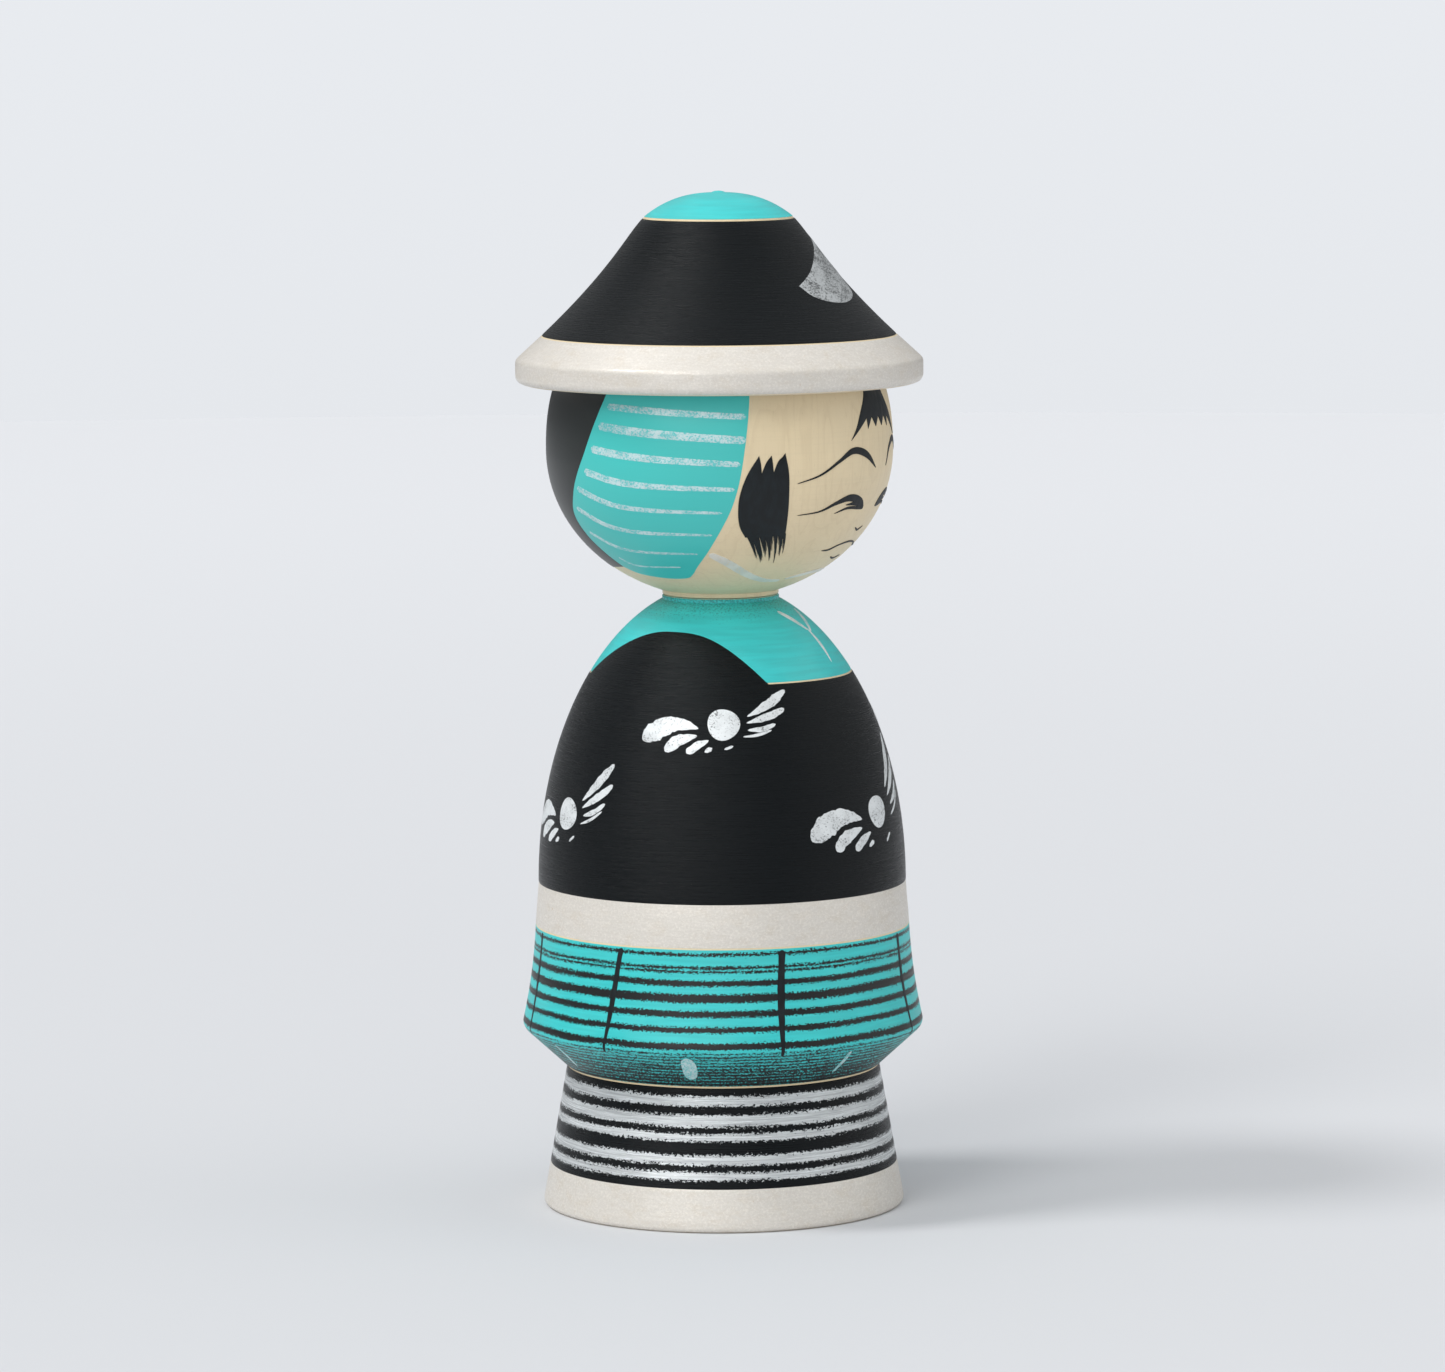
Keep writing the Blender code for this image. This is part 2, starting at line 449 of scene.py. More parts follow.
WOOD = (0.80, 0.665, 0.44)
WOOD_GRAIN = (0.60, 0.455, 0.27)
TURQUOISE = (0.038, 0.58, 0.585)
BLACK = (0.0028, 0.0042, 0.0052)
PEARL = (0.71, 0.675, 0.62)
PEARL_WARM = (0.645, 0.575, 0.475)
SILVER = (0.75, 0.785, 0.80)
PALE_TURQUOISE = (0.16, 0.66, 0.62)  # clouds in the turquoise
DUST = (0.12, 0.11, 0.09)  # specks on the black
SCUFF = (0.50, 0.33, 0.18)  # wood that shows through worn pearl
# Heights over which the overspray on the yoke thickens towards the neck, partly as painted shade under the
# head
SPECKLE_SHADE_FROM, SPECKLE_SHADE_TO = 87.6, 92.4


class Shade:
    """A material under construction. Its noises are laid out over the piece in millimetres."""

    def __init__(self, name, roughness, specular=0.5, metallic=0.0):
        self.material = bpy.data.materials.new(name)
        self.material.use_nodes = True
        self.tree = self.material.node_tree
        self.shader = self.tree.nodes["Principled BSDF"]
        self.shader.inputs["Roughness"].default_value = roughness
        self.shader.inputs["Specular IOR Level"].default_value = specular
        self.shader.inputs["Metallic"].default_value = metallic
        place = self.add("TexCoord").outputs["Object"]
        self.place = self.add("VectorMath", {0: place, 1: (PER_METRE,) * 3}, operation="MULTIPLY").outputs[0]
        self.height = self.add("SeparateXYZ", {0: self.place}).outputs["Z"]

    def add(self, kind, inputs=None, **settings):
        node = self.tree.nodes.new("ShaderNode" + kind)
        for name, value in settings.items():
            setattr(node, name, value)
        for key, value in (inputs or {}).items():
            if isinstance(value, bpy.types.NodeSocket):
                self.tree.links.new(value, node.inputs[key])
            else:
                node.inputs[key].default_value = value
        return node

    def math(self, operation, *values):
        return self.add("Math", dict(enumerate(values)), operation=operation).outputs[0]

    def noise(self, across, along, detail=2.0, roughness=0.5):
        """Noise in lumps of a size across the doll, and of another along its height."""
        size = (1 / across, 1 / across, 1 / along)
        stretched = self.add("VectorMath", {0: self.place, 1: size}, operation="MULTIPLY").outputs[0]
        settings = {"Vector": stretched, "Scale": 1.0, "Detail": detail, "Roughness": roughness}
        return self.add("TexNoise", settings).outputs["Fac"]

    def between(self, value, low, high, start=0.0, end=1.0):
        """A smooth step from start to end while the value goes from low to high."""
        settings = {"Value": value, "From Min": low, "From Max": high, "To Min": start, "To Max": end}
        return self.add("MapRange", settings, interpolation_type="SMOOTHSTEP").outputs[0]

    def mix(self, share, first, second):
        """The first colour where the share is 0, and the second where it is 1."""
        node = self.add("Mix", {0: share}, data_type="RGBA")
        for key, value in ((6, first), (7, second)):
            if isinstance(value, bpy.types.NodeSocket):
                self.tree.links.new(value, node.inputs[key])
            else:
                node.inputs[key].default_value = (*value, 1)
        return node.outputs[2]

    def rings(self, bands):
        """How far a point lies inside the nearest of some bands round the doll, each (height, width)."""
        wave = self.math("MULTIPLY_ADD", self.noise(14, 14), 0.5, -0.25)
        height = self.math("ADD", self.height, wave)
        deepest = None
        for middle, width in bands:
            away = self.math("ABSOLUTE", self.math("SUBTRACT", height, middle))
            depth = self.math("SUBTRACT", width / 2, away)
            deepest = depth if deepest is None else self.math("MAXIMUM", deepest, depth)
        return deepest

    def colour(self, value):
        self.tree.links.new(value, self.shader.inputs["Base Color"])

    def rough(self, value):
        self.tree.links.new(value, self.shader.inputs["Roughness"])

    def metal(self, value):
        self.tree.links.new(value, self.shader.inputs["Metallic"])

    def bump(self, value, depth):
        """Raises the surface by depth millimetres where the value is 1."""
        node = self.add("Bump", {"Strength": 1.0, "Distance": depth * MM, "Height": value})
        self.tree.links.new(node.outputs[0], self.shader.inputs["Normal"])


def tinted(colour, factor):
    return tuple(channel * factor for channel in colour)


def bare_wood():
    """Pale wood, with fine upright grain, wide growth lines and the faint lines of the turning."""
    shade = Shade("bare_wood", 0.42, 0.45)
    grain = shade.noise(0.3, 7, 3, 0.6)
    growth = shade.noise(5, 90, 2, 0.35)
    rings = shade.math("FRACT", shade.math("MULTIPLY", growth, 8.0))
    figure = shade.noise(6, 5, 3)
    colour = shade.mix(shade.between(grain, 0.5, 0.78, 0, 0.2), WOOD, WOOD_GRAIN)
    colour = shade.mix(shade.between(rings, 0.6, 1.0, 0, 0.16), colour, WOOD_GRAIN)
    colour = shade.mix(shade.between(figure, 0.45, 0.75, 0, 0.35), colour, tinted(WOOD, 1.12))
    turning = shade.noise(40, 0.25, 2)
    colour = shade.mix(shade.between(turning, 0.5, 0.7, 0, 0.2), colour, tinted(WOOD, 0.9))
    pores = shade.noise(0.15, 1.4, 1)
    colour = shade.mix(shade.between(pores, 0.7, 0.8, 0, 0.2), colour, tinted(WOOD_GRAIN, 0.6))
    shade.colour(colour)
    shade.rough(shade.between(grain, 0.3, 0.7, 0.38, 0.5))
    shade.bump(grain, 0.01)
    return shade.material


def turquoise_paint(name, speckled_and_shaded=False, rings=()):
    """Turquoise brushed on round the turning, with rings of black, or overspray that darkens towards the
    neck partly as painted shade under the head, where asked for.
    """
    shade = Shade(name, 0.42, 0.5)
    strokes = shade.noise(9, 0.5, 3)
    clouds = shade.noise(7, 7, 2)
    colour = shade.mix(shade.between(strokes, 0.3, 0.7), tinted(TURQUOISE, 0.93), tinted(TURQUOISE, 1.06))
    colour = shade.mix(shade.between(clouds, 0.4, 0.7, 0, 0.12), colour, PALE_TURQUOISE)
    roughness = shade.between(strokes, 0.3, 0.7, 0.38, 0.48)
    if speckled_and_shaded:
        # Painted shade: the dark specks thicken towards the neck, standing in for the shade under the head
        # as well as for real overspray.
        rise = shade.between(shade.height, SPECKLE_SHADE_FROM, SPECKLE_SHADE_TO, 0.0, 0.26)
        dots_and_shade = shade.math("ADD", shade.noise(0.28, 0.28, 2), rise)
        colour = shade.mix(shade.between(dots_and_shade, 0.66, 0.86, 0, 0.55), colour, tinted(TURQUOISE, 0.2))
    if rings:
        colour = shade.mix(ring_ink(shade, rings), colour, BLACK)
    shade.colour(colour)
    shade.rough(roughness)
    shade.bump(strokes, 0.01)
    return shade.material


def ragged(shade, depth, grit_size, grit_share, drag_share):
    """A depth inside a ring, roughened by grit and by the drag of the brush."""
    grit = shade.noise(grit_size, grit_size * 0.7, 3, 0.7)
    drag = shade.noise(9, 0.22, 3, 0.6)
    rough = shade.math("MULTIPLY_ADD", grit, grit_share, -grit_share / 2)
    dragged = shade.math("MULTIPLY_ADD", drag, drag_share, -drag_share / 2)
    return shade.math("ADD", shade.math("ADD", depth, rough), dragged), drag


def ring_ink(shade, rings):
    """Where a brush held against the turning skirt left ink."""
    depth, _ = ragged(shade, shade.rings(rings), 0.33, 1.4, 0.5)
    return shade.between(depth, -0.08, 0.08)


def black_paint(name, rings=()):
    """Satin black with fine marks of the brush round the turning, and rings of silver where asked for."""
    shade = Shade(name, 0.31, 0.15)
    marks = shade.noise(6, 0.13, 3, 0.65)
    grit = shade.noise(0.25, 0.2, 3, 0.7)
    dust = shade.noise(0.3, 0.3, 1)
    colour = shade.mix(shade.between(marks, 0.3, 0.75), BLACK, tinted(BLACK, 1.4))
    colour = shade.mix(shade.between(dust, 0.8, 0.86, 0, 0.5), colour, DUST)
    roughness = shade.between(marks, 0.3, 0.7, 0.25, 0.37)
    if rings:
        silver, share = silver_rings(shade, rings)
        colour = shade.mix(share, colour, silver)
        roughness = shade.math("SUBTRACT", roughness, shade.math("MULTIPLY", share, 0.08))
        shade.metal(shade.math("MULTIPLY", share, 0.35))
    shade.colour(colour)
    shade.rough(roughness)
    shade.bump(shade.math("MULTIPLY_ADD", marks, 2.0, grit), 0.06)
    return shade.material


def silver_rings(shade, rings):
    """Rings of silver dragged thinly over black: streaked, with rough edges."""
    depth, drag = ragged(shade, shade.rings(rings), 0.4, 2.0, 0.7)
    share = shade.between(depth, -0.04, 0.08)
    thin = shade.between(drag, 0.3, 0.65)
    return shade.mix(thin, tinted(SILVER, 0.66), SILVER), share


def pearl_paint():
    """Off-white with pale flakes that are partly painted glints, warm clouds and a few scuffs down to the
    wood.
    """
    shade = Shade("pearl_paint", 0.4, 0.5, 0.15)
    flakes_and_glints = shade.noise(0.4, 0.3, 3, 0.75)
    brush = shade.noise(4, 0.5, 4, 0.7)
    clouds = shade.noise(3.2, 1.8, 4, 0.7)
    colour = shade.mix(shade.between(clouds, 0.46, 0.7, 0, 0.4), PEARL, PEARL_WARM)
    colour = shade.mix(shade.between(brush, 0.5, 0.65, 0, 0.4), colour, tinted(PEARL, 1.14))
    # Painted glints: the palest flakes stand in for the sparkle of the pearl as well as for its real flakes.
    colour = shade.mix(shade.between(flakes_and_glints, 0.52, 0.64, 0, 0.6), colour, tinted(PEARL, 1.2))
    colour = shade.mix(shade.between(flakes_and_glints, 0.34, 0.48, 0.2, 0), colour, tinted(PEARL_WARM, 0.85))
    scuffs = shade.noise(0.3, 1.8, 2)
    colour = shade.mix(shade.between(scuffs, 0.76, 0.8, 0, 0.7), colour, SCUFF)
    shade.colour(colour)
    shade.rough(shade.between(flakes_and_glints, 0.4, 0.65, 0.5, 0.3))
    shade.bump(shade.math("ADD", flakes_and_glints, brush), 0.03)
    return shade.material


def silver_paint(name, under, worn, thin=0.0):
    """Silver strokes, through which the colour under them shows where they are thin, worn or dry."""
    shade = Shade(name, 0.42, 0.5, 0.15)
    grit = shade.noise(0.34, 0.26, 3, 0.75)
    clouds = shade.noise(2.4, 1.8, 2)
    film = tuple(top * (1 - thin) + below * thin for top, below in zip(SILVER, under))
    colour = shade.mix(shade.between(clouds, 0.35, 0.65), tinted(film, 1.06), tinted(film, 0.92))
    wear = shade.math("ADD", grit, shade.math("MULTIPLY", clouds, 0.3))
    colour = shade.mix(shade.between(wear, worn, worn + 0.14, 0.0, 0.8), colour, under)
    shade.colour(colour)
    shade.rough(shade.between(grit, 0.3, 0.7, 0.36, 0.52))
    shade.bump(grit, 0.02)
    return shade.material


def ink():
    """Black laid on with a fine brush, a little uneven."""
    shade = Shade("ink", 0.5, 0.3)
    clouds = shade.noise(0.9, 2.5, 3)
    shade.colour(shade.mix(shade.between(clouds, 0.35, 0.75), tinted(BLACK, 1.8), tinted(BLACK, 3.6)))
    shade.rough(shade.between(clouds, 0.3, 0.7, 0.42, 0.58))
    shade.bump(clouds, 0.01)
    return shade.material


# ---------------------------------------------------------------- the three turned pieces of wood

YOKE_GROOVE = 0.04  # depth of the line turned under the yoke
CAP_GROOVE = 0.1  # and of the one under the cap
MOUTH_CHAMFER = 0.3  # at the mouth of the hat's hollow

wood = bare_wood()


def groove(outline, height, width, depth):
    """The outline with a turned V-shaped line cut into it."""
    above = [point for point in outline if point[1] > height + width / 2]
    below = [point for point in outline if point[1] < height - width / 2]
    here = Turning("", outline)
    cut = [
        here.lifted(height + width / 2, 0),
        here.lifted(height, -depth),
        here.lifted(height - width / 2, 0),
    ]
    return above + cut + below


def make_wood():
    socket = TENON_RADIUS + FIT_GAP
    floor = NECK_TOP - SOCKET_DEPTH
    end = NECK_TOP + FIT_GAP - TENON_LENGTH
    bead = end + BEAD_ABOVE_END
    bead_up = [
        (0, bead - BEAD_HALF), (BEAD_SWELL, bead - BEAD_FLAT),
        (BEAD_SWELL, bead + BEAD_FLAT), (0, bead + BEAD_HALF),
    ]
    chain = [(0, floor), (socket, floor)]
    chain += [(socket + swell, height) for swell, height in bead_up]
    chain += [(socket, NECK_TOP - NECK_EDGE), (socket + NECK_EDGE, NECK_TOP)]
    outside = groove(BODY.outline, YOKE_EDGE - BAND_LINE / 2, BAND_LINE, YOKE_GROOVE)
    chain += outside + [(0, 0)]
    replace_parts(turned_solid("body_wood", chain, wood, "body", "bare_wood"), "body")

    chain = HEAD.outline + [(TENON_RADIUS, NECK_TOP + LIP_GAP)]
    chain += [(TENON_RADIUS + swell, height) for swell, height in reversed(bead_up)]
    chain += [(TENON_RADIUS, end + TENON_CHAMFER), (TENON_RADIUS - TENON_CHAMFER, end), (0, end)]
    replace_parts(turned_solid("head_wood", chain, wood, "head", "bare_wood"), "head")

    hollow = [point for point in crown(FIT_GAP, 60) if point[1] > BRIM_BOTTOM + 0.1]
    mouth = hollow[-1][0] + MOUTH_CHAMFER
    chain = groove(HAT.outline, CAP_EDGE - CAP_LINE / 2, CAP_LINE, CAP_GROOVE)
    chain += [(mouth, BRIM_BOTTOM)] + hollow[::-1]
    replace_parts(turned_solid("hat_wood", chain, wood, "hat", "bare_wood"), "hat")


# ---------------------------------------------------------------- coats of paint

YOKE_EDGE = 80.7  # lower edge of the turquoise yoke, front and back
CAPE_SHOULDER = 87.75  # top of the cape's arch over each shoulder
SHOULDER_AT = 97.5  # how far round from the face each arch stands
SHOULDER_HALF = 52.5
FRONT_FALL = 2.9
BACK_FALL = 2.2
BAND_LINE = 0.22  # widths of bare wood left between two coats
CAP_EDGE = 148.55
CAP_LINE = 0.24
BRIM_LINE = 0.16
LEG_LINE = 6.4
HAIRLINE = 127.0
FACE = 3.0  # the azimuth that the face looks towards

# (height, width) of the rings
SKIRT_RINGS = [
    (41.75, 0.45), (39.85, 0.45), (39.25, 0.35), (37.6, 0.9),
    (35.4, 1.25), (33.1, 0.95), (30.8, 0.85), (28.4, 1.0),
]
# Thin rings crowd together under the hem, and thicken towards the leg
SKIRT_RINGS += [(27.25 - 0.55 * index, 0.2 + 0.045 * index) for index in range(11)]
LEG_RINGS = [(19.2, 1.4), (16.35, 1.7), (13.95, 1.1), (10.65, 1.4), (8.3, 1.15)]


def cape_top(azimuth):
    """The cape is level at the front and the back, and arches over the shoulders."""
    from_front = abs((azimuth - FACE + 180) % 360 - 180)
    across = (from_front - SHOULDER_AT) / SHOULDER_HALF
    level = YOKE_EDGE - BAND_LINE
    fall = min(1.0, abs(across)) ** (FRONT_FALL if across < 0 else BACK_FALL)
    return CAPE_SHOULDER - (CAPE_SHOULDER - level) * fall


def brim_underside():
    """Points across the flat underside of the brim, from its rounded edge in to the hollow."""
    mouth = max(radius for radius, height in crown(FIT_GAP, 60) if height > BRIM_BOTTOM)
    return line((BRIM_RADIUS - BRIM_LOWER_ROUNDING, BRIM_BOTTOM), (mouth + 0.4, BRIM_BOTTOM), 4)


def make_coats():
    turquoise = turquoise_paint("turquoise_paint")
    black = black_paint("black_paint")
    pearl = pearl_paint()

    top_coat("hat_cap_paint", HAT, CAP_EDGE, COAT, turquoise, "turquoise_paint")
    coat("hat_cone_paint", HAT, CAP_EDGE - CAP_LINE, SHOULDER, black, "black_paint")
    coat(
        "hat_brim_paint", HAT, SHOULDER - BRIM_LINE, BRIM_BOTTOM + 0.05, pearl, "pearl_paint",
        underside=brim_underside(),
    )

    top_coat("crown_paint", HEAD, HAIRLINE, COAT, black, "black_paint")

    yoke = turquoise_paint("speckled_shaded_turquoise_paint", speckled_and_shaded=True)
    coat("yoke_paint", BODY, NECK_TOP - 0.02, YOKE_EDGE, yoke, "turquoise_paint")
    coat("cape_paint", BODY, cape_top, BAND_TOP, black, "black_paint", lift=COAT + 0.03, columns=480)
    coat("band_paint", BODY, BAND_TOP, SKIRT_TOP + 0.15, pearl, "pearl_paint")
    skirt = turquoise_paint("ringed_turquoise_paint", rings=SKIRT_RINGS)
    coat("skirt_paint", BODY, SKIRT_TOP - 0.1, LEG_TOP + 0.22, skirt, "turquoise_paint")
    leg = black_paint("ringed_black_paint", rings=LEG_RINGS)
    coat("leg_paint", BODY, LEG_TOP - 0.1, LEG_LINE, leg, "black_paint")
    coat("foot_paint", BODY, LEG_LINE, 0.12, pearl, "pearl_paint")


# ---------------------------------------------------------------- brush strokes


def other_side(points):
    """The same points mirrored to the other side of the face, in an order that keeps an outline's sense."""
    return [(2 * FACE - point[0], *point[1:]) for point in reversed(points)]


# Edges of the cloth over the doll's right cheek, from the hairline down
CLOTH_FRONT = [
    (-52.5, HAIRLINE), (-52.9, 123), (-54.8, 116), (-57.1, 110), (-60.7, 105.4), (-67.9, 100.4),
    (-76.5, 96.8),
]
CLOTH_FOOT = [(-76.5, 96.8), (-80.5, 96.0), (-89, 95.75), (-100, 95.85), (-113, 96.3), (-120, 97.2)]
CLOTH_BACK = [
    (-102.5, HAIRLINE), (-105, 123.5), (-108.6, 119.3), (-114.4, 113.8), (-122.5, 108.5), (-128.1, 105.0),
    (-127.4, 102), (-124, 99.6), (-120, 97.2),
]

# Lower edge of the hair at the back, between the two cloths
NAPE = [(-204, 96.4), (-177, 96.2), (-150, 96.4)]

# (start azimuth, start height, bend height, end azimuth, end height, first width, last width)
CLOTH_STRIPES = [
    (-103.6, 121.7, 121.3, -54.2, 120.5, 1.15, 0.85),
    (-106.6, 118.8, 118.1, -54.4, 117.1, 1.4, 1.1),
    (-109.8, 115.4, 114.5, -56.4, 113.6, 1.35, 0.8),
    (-113.4, 112.0, 110.5, -58.2, 109.9, 1.3, 0.6),
    (-119.0, 109.3, 107.0, -62.3, 106.4, 1.2, 0.4),
    (-123.5, 106.2, 103.5, -66.0, 103.0, 1.1, 0.35),
    (-123.3, 102.6, 100.3, -72.2, 100.0, 0.85, 0.3),
    (-115.0, 98.8, 97.7, -82.0, 97.8, 0.5, 0.25),
]

# The block of the sideburn, as runs that meet in corners
SIDEBURN = [
    [(-50.2, 114.8), (-54.1, 112.0), (-56.4, 109.0), (-56.8, 106.3), (-55.9, 104.2), (-53.6, 102.6)],
    [(-53.6, 102.6), (-37.9, 102.7)],
    [(-37.9, 102.7), (-38.7, 105.6), (-39.4, 109.0), (-40.0, 112.2), (-41.3, 115.1)],
    [(-41.3, 115.1), (-42.4, 114.5), (-43.8, 113.9), (-45.3, 112.3)],
    [(-45.3, 112.3), (-45.6, 113.6), (-46.0, 114.8)],
    [(-46.0, 114.8), (-47.8, 113.8), (-49.3, 112.2)],
    [(-49.3, 112.2), (-49.6, 113.6), (-50.2, 114.8)],
]
SIDEBURN_FOOT = (-53.3, -38.2)  # azimuths of its lower corners, below which dry hairs of the brush show
SIDEBURN_HAIRS = 29
HAIR_ROOT = 103.2  # height at which the dry hairs start
HAIR_TIP = 100.1  # and where they end on average
HAIR_SPREAD = 3.2  # how far above or below that one may end
HAIR_LEAN = 6.2  # how far the leftmost hair's tip leans right in 4 mm
HAIR_GATHER = 3.4  # how much less the rightmost one's does

FORELOCK_SIDE = [(-1.5, HAIRLINE), (-4.2, 123.2), (-8.7, 120.2), (-11.7, 118.0), (-14.6, 116.3)]
# Points and notches of its fringe, as far as the middle
FORELOCK_FRINGE = [(-14.6, 116.3), (-5.2, 119.4), (-4.9, 117.8), (-1.9, 119.5), (0.6, 118.0), (3.0, 119.5)]

# Strokes of the face, as (azimuth, height, width). All but the brow are mirrored to the far side
BROW = [(-36.7, 110.5, 0.1), (-28, 111.6, 0.28), (-20, 113.5, 0.5), (-13.5, 114.8, 0.95), (-6.5, 114.1, 1.0),
        (0.2, 111.9, 0.08)]
FAR_BROW = [(9.2, 111.9, 0.08), (12.5, 114.5, 0.55), (18.5, 115.7, 0.95), (26, 114.4, 0.5), (42, 111.2, 0.1)]
UPPER_LID = [(-34.9, 105.7, 0.08), (-26, 106.1, 0.25), (-19, 107.2, 0.6), (-12.5, 107.8, 1.1),
             (-6.3, 107.1, 1.15), (-2.6, 105.9, 0.5)]
LOWER_LID = [(-18.7, 105.6, 0.08), (-12.5, 106.25, 0.4), (-6, 106.1, 0.5), (-2.7, 105.9, 0.3)]
PUPIL = [(-14.0, 106.75, 0.1), (-9.5, 106.85, 0.6), (-5.6, 106.6, 0.7), (-3.3, 106.1, 0.4)]
NOSE = [(-0.4, 102.95, 0.15), (1.6, 102.6, 0.28), (3, 102.45, 0.36)]
UPPER_LIP = [(-14.7, 99.75, 0.1), (-10, 99.8, 0.36), (-4.5, 100.4, 0.3), (3, 100.7, 0.36)]
LOWER_LIP = [(-2.2, 98.5, 0.15), (0.5, 98.25, 0.36), (3, 98.15, 0.36)]
FINE_WAVER = 0.04  # how much the edges of these strokes waver

CHIN_STRAP = [(-67.6, 100, 1.0), (-61, 98.8, 1.45), (-50, 96.7, 1.35), (-38, 95.5, 1.1), (-25, 95.2, 0.7)]
CHIN_KNOT = [(-22, 95.4, 0.5), (-11, 95.9, 1.0), (3, 96.2, 1.1)]

# A flower in millimetres right of and above the middle of its centre, as (right, up, width)
FLOWER_CENTRE = 2.4
FLOWER_PETALS = [
    [(-3.7, -0.6, 0.3), (-5.6, -0.1, 1.5), (-7.7, -0.1, 2.5), (-10.2, -1.1, 3.1), (-12.4, -2.6, 1.7)],
    [(-3.9, -1.7, 0.3), (-5.5, -2.1, 1.3), (-7.2, -2.8, 1.9), (-8.8, -4.2, 1.3)],
    [(-2.2, -2.4, 0.3), (-3.8, -3.2, 1.2), (-5.5, -4.4, 1.1)],
    [(-2.8, -4.2, 0.5), (-1.7, -3.6, 0.7)],
]
FLOWER_LEAVES = [
    [(3.5, 1.2, 0.2), (5.6, 2.3, 1.1), (7.6, 3.6, 1.4), (9.4, 5.0, 0.5)],
    [(3.4, 0.2, 0.15), (5.3, 0.7, 0.9), (7.3, 1.3, 1.15), (9.2, 2.2, 0.6)],
    [(3.6, -0.9, 0.3), (5.7, -0.8, 0.8), (7.8, -0.1, 0.5)],
    [(2.9, -1.9, 0.2), (5.0, -1.7, 0.45), (7.2, -1.0, 0.25)],
    [(0.1, -3.8, 0.35), (1.4, -3.3, 0.4)],
]
# (azimuth, height, degrees by which the leaves stand steeper, size of the leaves)
FLOWERS = [
    (-2.9, 60.9, 20, 1.35), (-62.2, 75.0, 0, 1.0), (-122.1, 60.8, 16, 1.1),
    (178, 75.0, 4, 1.0), (118, 60.9, 17, 1.25), (57, 75.0, -3, 1.05),
]

# (azimuth at the top, azimuth at the bottom, width) of the bars down the skirt
SKIRT_BARS = [
    (4.5, 7.0, 0.8), (-44.9, -46.0, 0.95), (-94.8, -99.0, 0.75), (-136, -136.5, 0.75),
    (177, 175, 0.85), (133, 134, 0.8), (88, 91, 0.9), (47, 46, 0.8),
]
BAR_TOP, BAR_NECK, BAR_MIDDLE, BAR_FOOT = 42.2, 40.5, 34.5, 26.7  # heights along a bar

# A collar or cord down the front of the yoke, two ends that meet and a tail
COLLAR_CORD = [
    [(-12.8, 90.1, 0.7), (-5.7, 88.9, 0.95), (1.6, 87.2, 0.4)],
    [(17.6, 90.0, 0.7), (10.9, 88.6, 0.9), (3.4, 87.0, 0.4)],
    [(1.9, 87.4, 0.35), (2.6, 85.2, 0.75), (1.4, 82.6, 0.2)],
]

# Azimuths of the pale marks under the hem, and their (shift in azimuth, height, width) points
HEM_OVALS = [-73.8, 26, 130, -172]
HEM_LINES = [-122, -22.6, 77]
HEM_OVAL = [(0, 26.5, 1.7), (0.4, 24.6, 2.3), (0, 22.7, 1.5)]
HEM_LINE = [(0, 26.4, 0.55), (0.2, 24.6, 0.75), (-0.6, 22.8, 0.5)]

# Edges of the leaf on the front of the hat
CREST_UPPER = [(-24, 138.9), (-13, 140.5), (2, 142.8), (13, 144.1), (25, 145.3), (37, 146.4)]
CREST_LOWER = [
    (37, 146.4), (33.5, 143.0), (27, 139.9), (17, 137.5), (2, 136.3), (-10, 136.4), (-19, 137.3),
    (-24, 138.9),
]


